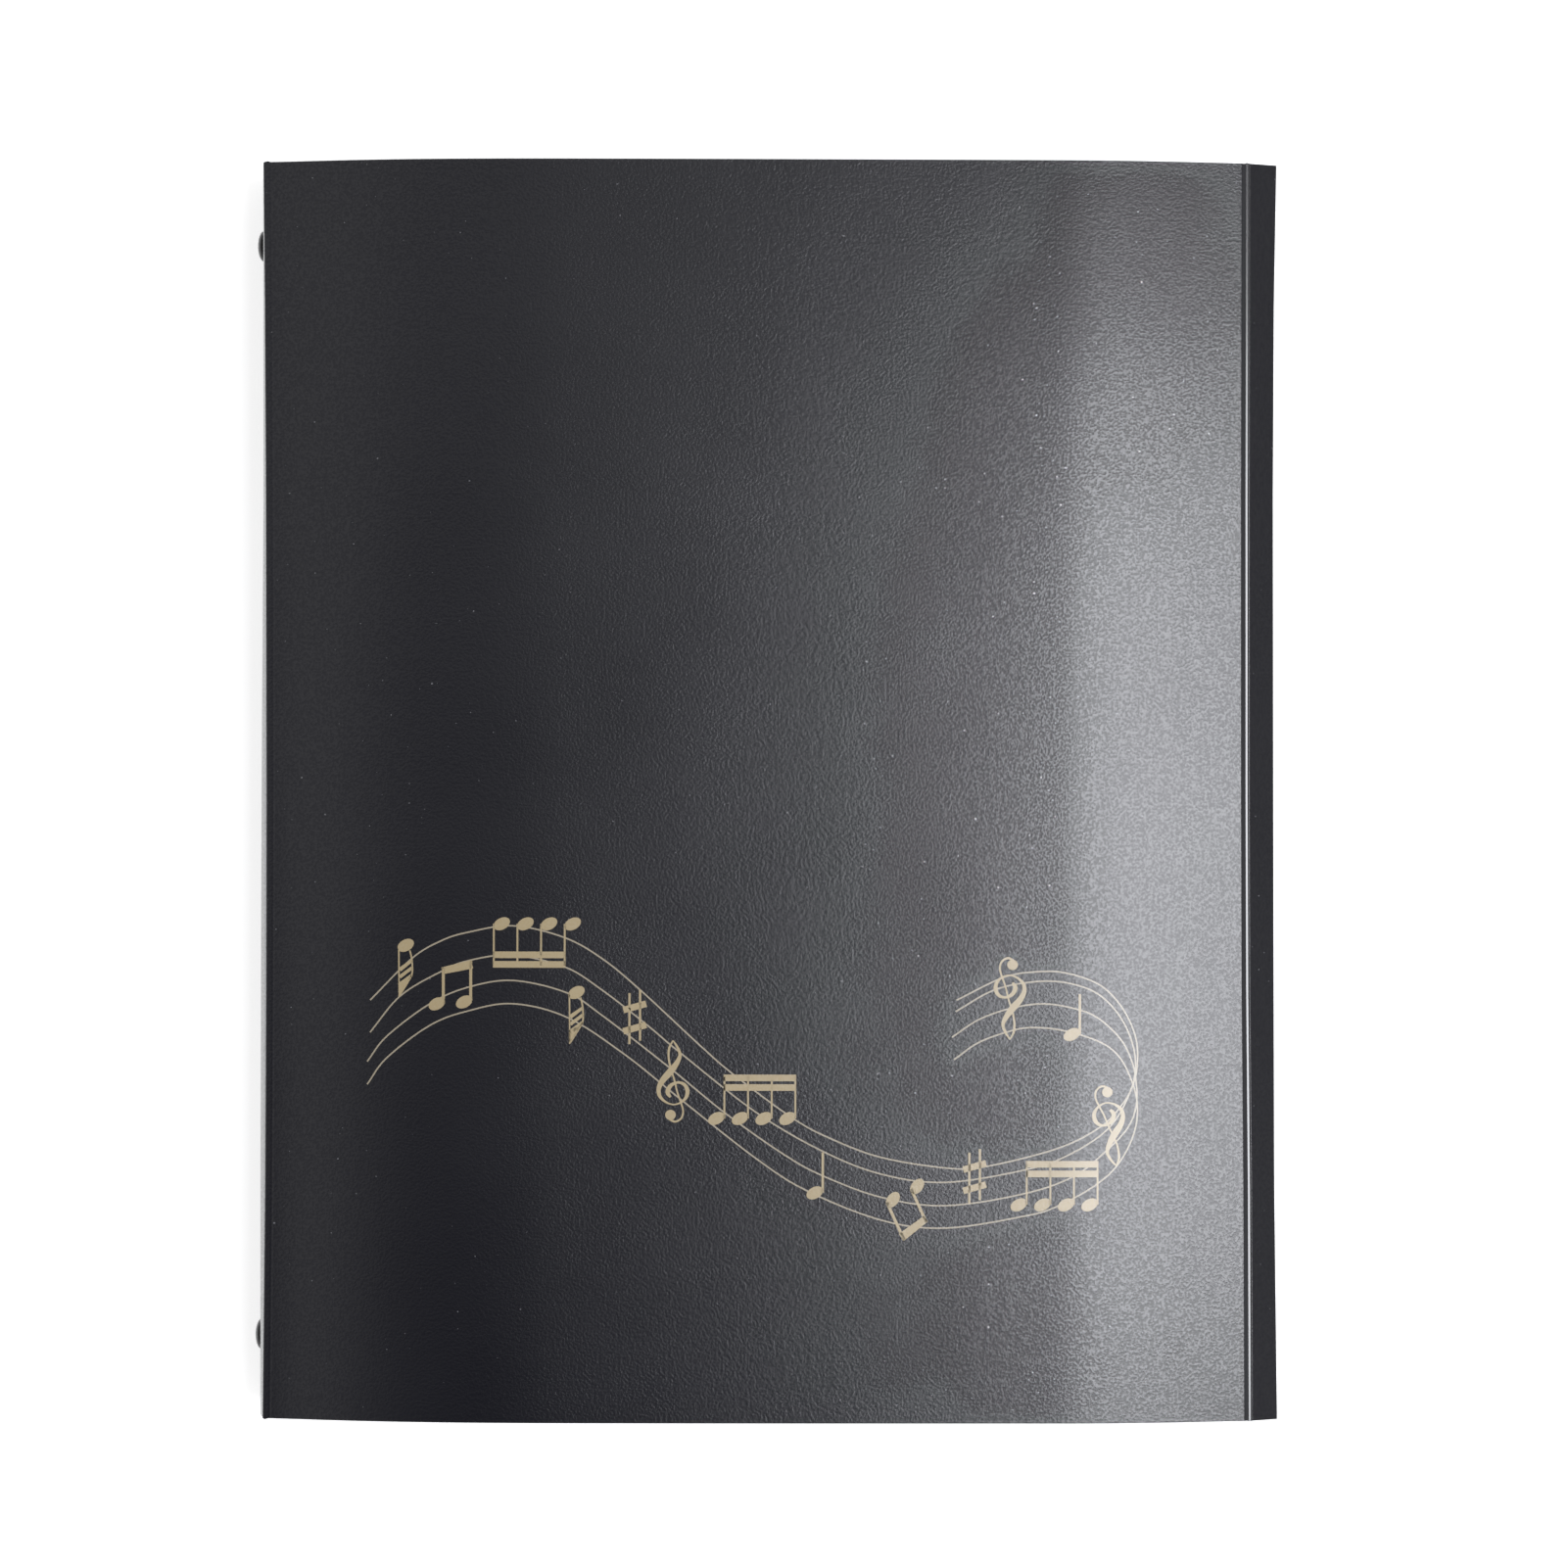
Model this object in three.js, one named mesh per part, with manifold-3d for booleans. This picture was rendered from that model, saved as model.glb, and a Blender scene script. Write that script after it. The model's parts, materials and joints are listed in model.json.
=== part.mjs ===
// A4 ring folder for sheet music, closed and lying on its back cover.
// Millimetres, +Z up. The spine is at -X, the fore-edge at +X and the head of the folder at +Y.
// The origin is at the centre of the back cover's outer face.

import * as THREE from 'three';
import { mergeVertices } from 'three/addons/utils/BufferGeometryUtils.js';
import Module from 'manifold-3d';

const wasm = await Module();
wasm.setup();

const radians = THREE.MathUtils.degToRad;

// Sheet, covers and spine
const SHEET = 1;                     // thickness of the polypropylene sheet
const COVER_HEIGHT = 310;            // head to tail
const COVER_WIDTH = 249;             // spine edge to the end of the lip
const SPINE_WIDTH = 35;              // outside of one cover to outside of the other, at the spine
const SPINE_BULGE = 1.8;             // how far the spine bows outwards at its middle
const HINGE_GAP = 0.3;               // spine's long edges to the covers

// Bow of the front cover, measured over its spine edge and along its width
const CREST_HEIGHT = 8.6;
const CREST_FROM_SPINE = 73;
const RISE_ANGLE = radians(7);       // of the cover where it leaves the spine
const RISE_REACH = 13;               // how far that direction holds
const CREST_REACH = 48;              // how far the level of the crest holds towards the spine
const SHOULDER_HEIGHT = 7.3;
const SHOULDER_FROM_CREASE = 46;
const SHOULDER_ANGLE = radians(1);
const SHOULDER_REACH = 14;
const FALL_HEIGHT = 1.4;             // height left at the fore-edge crease
const FALL_ANGLE = radians(11);
const FALL_REACH = 22;

// Fore-edge lip and the pressed creases
const LIP_WIDTH = 8;                 // middle of the crease to the end of the lip
const LIP_ANGLE = radians(28);       // below level
const CREASE_WIDTH = 2.6;
const CREASE_DEPTH = 0.4;
const SPINE_CREASE_FROM_EDGE = 1.4;  // pressed line beside each hinge
const SPINE_CREASE_WIDTH = 1;
const SPINE_CREASE_DEPTH = 0.15;

// Ring mechanism, in its own axes: u away from the spine, y along it, v across it
const RING_PITCH = 80;
const RING_COUNT = 4;
const RING_INNER_RADIUS = 10;
const WIRE = 2.8;                    // diameter of the ring wire
const LEG_HEIGHT = 4.9;              // straight foot of a half ring, over the plate's seat
const LEG_BEND = 4;                  // radius of the bend from the foot into the ring
const LEG_OFFSET = 4.6;              // foot to the middle of the mechanism
const FOOT_BELOW_BLADE = 0.45;
const TIP_POINT = 1.2;               // length of the pointed end that seats in the other half's notch
const TIP_GAP = 0.2;

const PLATE_THICKNESS = 0.9;
const PLATE_WIDTH = 16;
const PLATE_CROWN = 5.4;             // top of the arch over its seat
const PLATE_FLAT = 6.4;              // width of the flat top of the arch
const PLATE_HEM = 1.6;               // width of the edge curled in under the arch
const PLATE_END_RADIUS = 4;
const PLATE_BEYOND_RIVET = 7;
const PLATE_CLEARANCE = 0.2;         // plate's long edges to the spine's inner face
const SLOT_CLEARANCE = 0.3;          // wire to the sides of its slot

const BLADE_THICKNESS = 0.9;
const BLADE_GAP = 0.3;               // between the two blades when they lie flat
const BLADE_SIDE_GAP = 0.2;          // blade to the arch's side
const BLADE_PIVOT_HEIGHT = 2;
const BLADE_PIVOT_INSET = 0.65;      // pivot line to the arch's side
const BLADE_TILT = radians(5.5);     // of a closed blade, past dead centre towards the spine
const BLADE_SHORT_OF_RIVET = 8;
const BLADE_END_RADIUS = 1.5;
const FOOT_CLEARANCE = 0.25;         // wire to its hole in the blade

// Rivets
const RIVET_BEYOND_RING = 16;
const RIVET_SHANK = 3.8;
const RIVET_HEAD = 7.6;
const RIVET_HEAD_HEIGHT = 1.6;
const RIVET_FLANGE = 6;
const RIVET_FLANGE_HEIGHT = 0.6;
const RIVET_BORE = 2.6;
const RIVET_BORE_DEPTH = 4;
const RIVET_CLEARANCE = 0.2;         // shank to its holes, and head and flange to their seats

// Places worked out from those sizes
const hingeX = -COVER_WIDTH / 2 + SHEET / 2;
const backHinge = new THREE.Vector2(hingeX, SHEET / 2);
const frontHinge = new THREE.Vector2(hingeX, SPINE_WIDTH - SHEET / 2);
const spineMiddle = SPINE_WIDTH / 2;
const spineHalf = spineMiddle - SHEET - HINGE_GAP;
const bulgeRadius = (spineHalf ** 2 + SPINE_BULGE ** 2) / (2 * SPINE_BULGE);
const creaseX = COVER_WIDTH / 2 - LIP_WIDTH * Math.cos(LIP_ANGLE) - SHEET / 2 * Math.sin(LIP_ANGLE);

const wireRadius = WIRE / 2;
const ringRadius = RING_INNER_RADIUS + wireRadius;
const ringPlaces = Array.from({ length: RING_COUNT }, (_, i) => ((RING_COUNT - 1) / 2 - i) * RING_PITCH);
const rivetY = ringPlaces[0] + RIVET_BEYOND_RING;
const plateHalf = PLATE_WIDTH / 2;
const plateInnerHalf = plateHalf - PLATE_THICKNESS;
const pivotV = plateInnerHalf - BLADE_PIVOT_INSET;
const rivetHole = RIVET_SHANK / 2 + RIVET_CLEARANCE;
const seatX = hingeX + SHEET / 2 - bulgeAt(plateHalf) + PLATE_CLEARANCE;
const spineOuterX = hingeX - SHEET / 2 - SPINE_BULGE;

// How far the spine's middle surface bows out at a distance from its middle line.
function bulgeAt(v) {
  return Math.sqrt(bulgeRadius ** 2 - v ** 2) - (bulgeRadius - SPINE_BULGE);
}

// Extrusion of a shape whose own x and y become two axes of the model.
// It is centred along the third axis, which is the cross product of those two.
function prism(shape, depth, across, up, curveSegments = 12) {
  const geometry = new THREE.ExtrudeGeometry(shape, { depth, bevelEnabled: false, curveSegments });
  const along = new THREE.Vector3().crossVectors(across, up);
  geometry.translate(0, 0, -depth / 2);
  return geometry.applyMatrix4(new THREE.Matrix4().makeBasis(across, up, along));
}

const X = new THREE.Vector3(1, 0, 0);
const Y = new THREE.Vector3(0, 1, 0);
const Z = new THREE.Vector3(0, 0, 1);

function toSolid(geometry) {
  const bare = geometry.clone();
  bare.deleteAttribute('normal');
  bare.deleteAttribute('uv');
  const merged = mergeVertices(bare, 1e-5);
  return new wasm.Manifold(new wasm.Mesh({
    numProp: 3,
    vertProperties: new Float32Array(merged.attributes.position.array),
    triVerts: new Uint32Array(merged.index.array),
  }));
}

function toGeometry(solid) {
  const mesh = solid.getMesh();
  const geometry = new THREE.BufferGeometry();
  geometry.setAttribute('position', new THREE.BufferAttribute(mesh.vertProperties, 3));
  geometry.setIndex(new THREE.BufferAttribute(mesh.triVerts, 1));
  const flat = geometry.toNonIndexed();
  flat.computeVertexNormals();
  return flat;
}

function cut(geometry, tools) {
  let solid = toSolid(geometry);
  for (const tool of tools) solid = solid.subtract(toSolid(tool));
  return toGeometry(solid);
}

// Unit normal on the left of an open line at one of its points.
function leftNormal(line, i) {
  const before = line[Math.max(i - 1, 0)];
  const after = line[Math.min(i + 1, line.length - 1)];
  const way = after.clone().sub(before).normalize();
  return new THREE.Vector2(-way.y, way.x);
}

// Closed outline of a sheet of one thickness around its middle line.
// groove(x) is how deep a crease is pressed into the left side there.
function sheetOutline(line, thickness, groove = () => 0) {
  const left = line.map((p, i) => {
    return p.clone().addScaledVector(leftNormal(line, i), thickness / 2 - groove(p.x));
  });
  const right = line.map((p, i) => p.clone().addScaledVector(leftNormal(line, i), -thickness / 2));
  return [...right, ...left.reverse()];
}

// Half-round edge of a sheet about its hinge, from its upper face round to its lower face.
function hingeBead(hinge, segments = 8) {
  const bead = [];
  for (let i = 1; i < segments; i++) {
    const angle = Math.PI * (0.5 + i / segments);
    bead.push(new THREE.Vector2(Math.cos(angle), Math.sin(angle)).multiplyScalar(SHEET / 2).add(hinge));
  }
  return bead;
}

// Depth of a pressed crease with a rounded bottom, across its width.
function creaseDepth(distance, width, depth) {
  if (Math.abs(distance) > width / 2) return 0;
  return depth * (1 + Math.cos(2 * Math.PI * distance / width)) / 2;
}

// A curve from one point to another, held to a direction over a reach at each end.
function easedCurve(start, startAngle, startReach, end, endAngle, endReach) {
  const leave = new THREE.Vector2(startReach, startReach * Math.tan(startAngle)).add(start);
  const arrive = end.clone().sub(new THREE.Vector2(endReach, endReach * Math.tan(endAngle)));
  return new THREE.CubicBezierCurve(start, leave, arrive, end);
}

// Evenly spread x places across a crease, to shape its groove.
function acrossCrease(middle, width, steps) {
  return Array.from({ length: steps + 1 }, (_, i) => middle + width * (i / steps - 0.5));
}

function heightOn(points, x) {
  const i = Math.max(1, points.findIndex((p) => p.x >= x));
  const t = (x - points[i - 1].x) / (points[i].x - points[i - 1].x);
  return THREE.MathUtils.lerp(points[i - 1].y, points[i].y, t);
}

// Middle line of the front cover in X and Z: it springs up to a crest, turns down at a shoulder,
// and drops away as a lip beyond the fore-edge crease.
function frontCoverLine() {
  const start = frontHinge;
  const crest = new THREE.Vector2(start.x + CREST_FROM_SPINE, start.y + CREST_HEIGHT);
  const shoulder = new THREE.Vector2(creaseX - SHOULDER_FROM_CREASE, start.y + SHOULDER_HEIGHT);
  const crease = new THREE.Vector2(creaseX, start.y + FALL_HEIGHT);
  const level = (shoulder.x - crest.x) / 3;
  const bow = [
    ...easedCurve(start, RISE_ANGLE, RISE_REACH, crest, 0, CREST_REACH).getPoints(16),
    ...easedCurve(crest, 0, level, shoulder, -SHOULDER_ANGLE, level).getPoints(8).slice(1),
    ...easedCurve(shoulder, -SHOULDER_ANGLE, SHOULDER_REACH, crease, -FALL_ANGLE, FALL_REACH)
      .getPoints(14).slice(1),
  ];
  const lipEnd = new THREE.Vector2(Math.cos(LIP_ANGLE), -Math.sin(LIP_ANGLE))
    .multiplyScalar(LIP_WIDTH).add(crease);
  const whole = [...bow, lipEnd];

  // The places across each crease take over from the points that they cover.
  const spineCrease = acrossCrease(start.x + SPINE_CREASE_FROM_EDGE, SPINE_CREASE_WIDTH, 6);
  const foreCrease = acrossCrease(creaseX, CREASE_WIDTH, 12);
  const covered = (x) => [spineCrease, foreCrease].some((c) => x > c[0] - 0.3 && x < c.at(-1) + 0.3);
  const stations = whole.map((p) => p.x).filter((x) => !covered(x));
  return [...stations, ...spineCrease, ...foreCrease]
    .sort((a, b) => a - b)
    .map((x) => new THREE.Vector2(x, heightOn(whole, x)));
}

function frontCover() {
  const line = frontCoverLine();
  const groove = (x) => {
    return creaseDepth(x - creaseX, CREASE_WIDTH, CREASE_DEPTH)
      + creaseDepth(x - hingeX - SPINE_CREASE_FROM_EDGE, SPINE_CREASE_WIDTH, SPINE_CREASE_DEPTH);
  };
  const outline = sheetOutline(line, SHEET, groove);
  const edge = hingeBead(frontHinge);
  return prism(new THREE.Shape([...outline, ...edge]), COVER_HEIGHT, X, Z);
}

// Flat sheet with the same pressed line beside its hinge, on its outer face.
function backCover() {
  const foreEdge = COVER_WIDTH / 2;
  const crease = acrossCrease(hingeX + SPINE_CREASE_FROM_EDGE, SPINE_CREASE_WIDTH, 6);
  const lower = [hingeX, ...crease, foreEdge].map((x) => {
    return new THREE.Vector2(x, creaseDepth(x - crease[3], SPINE_CREASE_WIDTH, SPINE_CREASE_DEPTH));
  });
  const upper = [new THREE.Vector2(foreEdge, SHEET), new THREE.Vector2(hingeX, SHEET)];
  const edge = hingeBead(backHinge);
  return prism(new THREE.Shape([...lower, ...upper, ...edge]), COVER_HEIGHT, X, Z);
}

function roundBar(radius, length, segments = 32) {
  return new THREE.CylinderGeometry(radius, radius, length, segments).rotateZ(Math.PI / 2);
}

// Bowed panel between the two hinges, with a hole for each rivet.
function spine() {
  const segments = 15;
  const line = [];
  for (let i = 0; i <= segments; i++) {
    const v = spineHalf * (2 * i / segments - 1);
    line.push(new THREE.Vector2(hingeX - bulgeAt(v), spineMiddle + v));
  }
  const panel = prism(new THREE.Shape(sheetOutline(line, SHEET)), COVER_HEIGHT, X, Z);
  const drill = roundBar(rivetHole, 4 * (SHEET + SPINE_BULGE)).translate(hingeX, 0, spineMiddle);
  return cut(panel, [rivetY, -rivetY].map((y) => drill.clone().translate(0, y, 0)));
}

// Half of the arch's outer profile in v and u, from the seat up to the crown's middle.
function archLine(inset) {
  const side = plateHalf - inset;
  const top = PLATE_CROWN - inset;
  const flat = PLATE_FLAT / 2;
  const shoulder = new THREE.EllipseCurve(flat, top - (side - flat) * 0.7, side - flat, (side - flat) * 0.7,
    0, Math.PI / 2);
  return shoulder.getPoints(8);
}

// Arched channel with its long edges curled in, round corners, wire slots and rivet holes.
function ringPlate() {
  const length = 2 * (rivetY + PLATE_BEYOND_RIVET);
  const hem = plateHalf - PLATE_HEM;
  const half = [
    new THREE.Vector2(hem, PLATE_THICKNESS),
    new THREE.Vector2(hem, 0),
    new THREE.Vector2(plateHalf - PLATE_THICKNESS / 2, 0),
    new THREE.Vector2(plateHalf, PLATE_THICKNESS / 2),
    ...archLine(0),
  ];
  const inner = [
    ...archLine(PLATE_THICKNESS).reverse(),
    new THREE.Vector2(plateInnerHalf, PLATE_THICKNESS),
  ];
  const mirrored = (points) => points.map((p) => new THREE.Vector2(-p.x, p.y)).reverse();
  const section = new THREE.Shape([...half, ...mirrored(half), ...mirrored(inner), ...inner]);
  const channel = prism(section, length, Z, X);

  const height = 3 * PLATE_CROWN;
  const plan = prism(roundedRectangle(length, PLATE_WIDTH, PLATE_END_RADIUS), height, Y, Z);
  const rounded = toGeometry(toSolid(channel).intersect(toSolid(plan)));

  const reach = wireRadius + SLOT_CLEARANCE;
  const slot = new THREE.Shape();
  slot.absarc(0, plateInnerHalf - SLOT_CLEARANCE - reach, reach, 0, Math.PI);
  slot.absarc(0, LEG_OFFSET, reach, Math.PI, 2 * Math.PI);
  const tools = [rivetY, -rivetY].map((y) => roundBar(rivetHole, height).translate(0, y, 0));
  for (const y of ringPlaces) {
    for (const side of [1, -1]) {
      const tool = prism(slot, height, Y, Z).translate(height / 2 + 2 * PLATE_THICKNESS, y, 0);
      tools.push(side > 0 ? tool : tool.rotateX(Math.PI).translate(0, 2 * y, 0));
    }
  }
  return cut(rounded, tools);
}

function roundedRectangle(width, height, radius) {
  const x = width / 2 - radius;
  const y = height / 2 - radius;
  const shape = new THREE.Shape();
  shape.absarc(x, y, radius, 0, Math.PI / 2);
  shape.absarc(-x, y, radius, Math.PI / 2, Math.PI);
  shape.absarc(-x, -y, radius, Math.PI, 3 * Math.PI / 2);
  shape.absarc(x, -y, radius, 3 * Math.PI / 2, 2 * Math.PI);
  return shape;
}

// Flat strip with a round hole for each foot, tilted about its pivot line into the closed place.
function blade(side) {
  const inner = BLADE_GAP / 2;
  const outer = plateInnerHalf - BLADE_SIDE_GAP;
  const length = 2 * (rivetY - BLADE_SHORT_OF_RIVET);
  const strip = roundedRectangle(length, outer - inner, BLADE_END_RADIUS);
  const middle = (inner + outer) / 2;
  const hole = wireRadius + FOOT_CLEARANCE;
  for (const y of ringPlaces) {
    strip.holes.push(new THREE.Path().absarc(y, LEG_OFFSET - middle, hole, 0, 2 * Math.PI));
  }
  return prism(strip, BLADE_THICKNESS, Y, Z, 10)
    .translate(0, 0, middle - pivotV)
    .rotateY(BLADE_TILT)
    .translate(BLADE_PIVOT_HEIGHT, 0, pivotV)
    .rotateX(side > 0 ? 0 : Math.PI);
}

// Middle line of a half ring: straight foot, outward bend, then an arc up past the ring's middle plane.
class HalfRingPath extends THREE.Curve {
  constructor(side, overrun) {
    super();
    this.side = side;
    this.turn = Math.acos((LEG_OFFSET + LEG_BEND) / (ringRadius + LEG_BEND));
    this.ringHeight = LEG_HEIGHT + (ringRadius + LEG_BEND) * Math.sin(this.turn);
    this.foot = BLADE_PIVOT_HEIGHT - BLADE_THICKNESS / 2 - FOOT_BELOW_BLADE
      - (pivotV - LEG_OFFSET) * Math.tan(BLADE_TILT);
    this.leg = LEG_HEIGHT - this.foot;
    this.bend = LEG_BEND * this.turn;
    this.arc = ringRadius * (Math.PI / 2 + this.turn) + overrun;
  }

  getPoint(t, target = new THREE.Vector3()) {
    const s = t * (this.leg + this.bend + this.arc);
    const bent = s - this.leg;
    const round = bent - this.bend;
    let u = this.foot + s;
    let v = LEG_OFFSET;
    if (round >= 0) {
      const angle = round / ringRadius - this.turn;
      u = this.ringHeight + ringRadius * Math.sin(angle);
      v = ringRadius * Math.cos(angle);
    } else if (bent >= 0) {
      const angle = bent / LEG_BEND;
      u = LEG_HEIGHT + LEG_BEND * Math.sin(angle);
      v = LEG_OFFSET + LEG_BEND * (1 - Math.cos(angle));
    }
    return target.set(u, 0, this.side * v);
  }
}

// Wire half ring. Its end is a point on one side of the pair and a matching notch on the other.
function halfRing(side) {
  const overrun = 1.5 * TIP_POINT;
  const path = new HalfRingPath(side, overrun);
  const section = new THREE.Shape().absarc(0, 0, wireRadius, 0, 2 * Math.PI);
  const wire = new THREE.ExtrudeGeometry(section, { steps: 34, extrudePath: path, curveSegments: 5 });

  const wide = 2 * WIRE;
  const slope = TIP_POINT / wireRadius;
  const seat = side * TIP_GAP / 2;
  const peak = seat - TIP_POINT / 2;
  const flank = peak + wide * slope;
  const beyond = -side * (wide * slope + WIRE);
  const chevron = new THREE.Shape([[0, peak], [wide, flank], [wide, beyond], [-wide, beyond], [-wide, flank]]
    .map(([y, v]) => new THREE.Vector2(y, v)));
  const tool = prism(chevron, 2 * WIRE, Y, Z).translate(path.ringHeight + ringRadius, 0, 0);
  return cut(wire, [tool]);
}

// Tubular rivet along X: domed head outside the spine, shank, and a flange turned over the ring plate.
function rivet() {
  const head = spineOuterX - RIVET_CLEARANCE - seatX;
  const flange = PLATE_CROWN + RIVET_CLEARANCE;
  const end = flange + RIVET_FLANGE_HEIGHT;
  const rim = RIVET_HEAD / 2;
  const dome = (rim ** 2 + RIVET_HEAD_HEIGHT ** 2) / (2 * RIVET_HEAD_HEIGHT);
  const sweep = Math.asin(rim / dome);
  const profile = [];
  for (let i = 0; i <= 8; i++) {
    const angle = sweep * i / 8;
    const along = head - RIVET_HEAD_HEIGHT + dome * (1 - Math.cos(angle));
    profile.push(new THREE.Vector2(dome * Math.sin(angle), along));
  }
  profile.push(
    new THREE.Vector2(RIVET_SHANK / 2, head),
    new THREE.Vector2(RIVET_SHANK / 2, flange),
    new THREE.Vector2(RIVET_FLANGE / 2, flange),
    new THREE.Vector2(RIVET_FLANGE / 2, flange + RIVET_FLANGE_HEIGHT / 2),
    new THREE.Vector2(RIVET_FLANGE / 2 - RIVET_FLANGE_HEIGHT / 2, end),
    new THREE.Vector2(RIVET_BORE / 2 + RIVET_FLANGE_HEIGHT / 2, end),
    new THREE.Vector2(RIVET_BORE / 2, end - RIVET_FLANGE_HEIGHT / 2),
    new THREE.Vector2(RIVET_BORE / 2, end - RIVET_BORE_DEPTH),
    new THREE.Vector2(0, end - RIVET_BORE_DEPTH),
  );
  return new THREE.LatheGeometry(profile, 32).rotateZ(-Math.PI / 2);
}

const blackSheet = new THREE.MeshStandardMaterial({ color: 0x2c2c30, roughness: 0.5, metalness: 0 });
const ringSteel = new THREE.MeshStandardMaterial({ color: 0xc9cbce, roughness: 0.25, metalness: 1 });
const blackPaint = new THREE.MeshStandardMaterial({ color: 0x17171a, roughness: 0.35, metalness: 0.2 });

function named(name, geometry, material) {
  const mesh = new THREE.Mesh(geometry, material);
  mesh.name = name;
  return mesh;
}

const folder = new THREE.Group();
folder.add(named('front_cover', frontCover(), blackSheet));
folder.add(named('spine', spine(), blackSheet));
folder.add(named('back_cover', backCover(), blackSheet));

const mechanism = new THREE.Group();
mechanism.position.set(seatX, 0, spineMiddle);
mechanism.add(named('ring_plate', ringPlate(), ringSteel));
for (const [name, side] of [['back', -1], ['front', 1]]) {
  mechanism.add(named(`${name}_blade`, blade(side), ringSteel));
  const ring = halfRing(side);
  ringPlaces.forEach((y, i) => {
    const mesh = named(`${name}_ring_${i + 1}`, ring, ringSteel);
    mesh.position.y = y;
    mechanism.add(mesh);
  });
}
for (const [name, y] of [['top', rivetY], ['bottom', -rivetY]]) {
  const mesh = named(`rivet_${name}`, rivet(), blackPaint);
  mesh.position.y = y;
  mechanism.add(mesh);
}
folder.add(mechanism);

export default folder;
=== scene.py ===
# A4 ring folder for sheet music, closed and seen from straight above.
# Metres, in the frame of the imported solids: +X to the fore-edge, +Y to the head, +Z out of the front cover.

import json
import math

import bmesh
import bpy
import numpy as np
from mathutils import Matrix, Vector


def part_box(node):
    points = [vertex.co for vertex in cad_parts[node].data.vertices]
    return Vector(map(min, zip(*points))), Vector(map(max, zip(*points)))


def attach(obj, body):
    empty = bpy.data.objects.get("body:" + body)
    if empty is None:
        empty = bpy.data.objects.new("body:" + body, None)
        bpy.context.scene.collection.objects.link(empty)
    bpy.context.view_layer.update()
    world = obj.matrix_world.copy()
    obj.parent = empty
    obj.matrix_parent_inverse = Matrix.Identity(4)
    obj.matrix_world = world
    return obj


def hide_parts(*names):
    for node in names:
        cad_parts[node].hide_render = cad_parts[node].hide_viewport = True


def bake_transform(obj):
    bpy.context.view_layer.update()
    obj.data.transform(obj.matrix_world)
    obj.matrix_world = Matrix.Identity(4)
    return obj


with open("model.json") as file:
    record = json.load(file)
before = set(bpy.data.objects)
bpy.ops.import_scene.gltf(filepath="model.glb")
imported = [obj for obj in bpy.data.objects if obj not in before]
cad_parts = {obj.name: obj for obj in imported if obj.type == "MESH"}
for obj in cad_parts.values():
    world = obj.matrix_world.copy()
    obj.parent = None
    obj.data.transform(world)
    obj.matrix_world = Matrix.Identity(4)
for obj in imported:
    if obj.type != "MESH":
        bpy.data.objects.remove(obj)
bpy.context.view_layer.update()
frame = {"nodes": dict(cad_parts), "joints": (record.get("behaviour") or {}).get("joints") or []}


# Camera
# It looks straight down from 1.25 m over the spine edge of the front cover. The folder lies
# a little left of and below its axis, turned clockwise by an eighth of a degree.

MM = 0.001
joints = {joint["name"]: joint for joint in frame["joints"]}
back_hinge = Vector(joints["back_crease"]["pos_m"])
front_hinge = Vector(joints["front_crease"]["pos_m"])
sheet_low, sheet_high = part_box("back_cover")
SHEET = sheet_high.z - sheet_low.z
cover_height = sheet_high.y - sheet_low.y

CAMERA_OVER_COVER = 1250 * MM
CAMERA_ASIDE = 3.75 * MM
CAMERA_ABOVE = 1.8 * MM
VIEW_WIDTH = 386.9 * MM
VIEW_TURN = math.radians(0.125)

lens = bpy.data.cameras.new("camera")
lens.sensor_width = 36
lens.lens = lens.sensor_width * CAMERA_OVER_COVER / VIEW_WIDTH
camera = bpy.data.objects.new("camera", lens)
camera.location = (CAMERA_ASIDE, CAMERA_ABOVE, front_hinge.z + SHEET / 2 + CAMERA_OVER_COVER)
camera.rotation_euler = (0, 0, VIEW_TURN)
bpy.context.scene.collection.objects.link(camera)
bpy.context.scene.camera = camera
bpy.context.scene.view_settings.view_transform = "Standard"


# Black sheet
# Extruded polypropylene, dyed black through, with a fine sand grain rolled into both faces.
# Where a rule has pressed it, at the creases, it is smooth and shiny.

class Wire:
    """One output of a node. Sums and products of wires add Math nodes."""

    def __init__(self, tree, socket):
        self.tree = tree
        self.socket = socket

    def math(self, operation, *values):
        return self.tree.node("Math", {"operation": operation}, dict(enumerate(values)))

    def __add__(self, other):
        return self.math("ADD", self, other)

    def __sub__(self, other):
        return self.math("SUBTRACT", self, other)

    def __rsub__(self, other):
        return self.math("SUBTRACT", other, self)

    def __mul__(self, other):
        return self.math("MULTIPLY", self, other)

    __radd__ = __add__
    __rmul__ = __mul__

    def step(self, low, high):
        """0 below low, 1 above high, eased between."""
        settings = {"interpolation_type": "SMOOTHSTEP"}
        return self.tree.node("MapRange", settings, {"Value": self, "From Min": low, "From Max": high})


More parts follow.
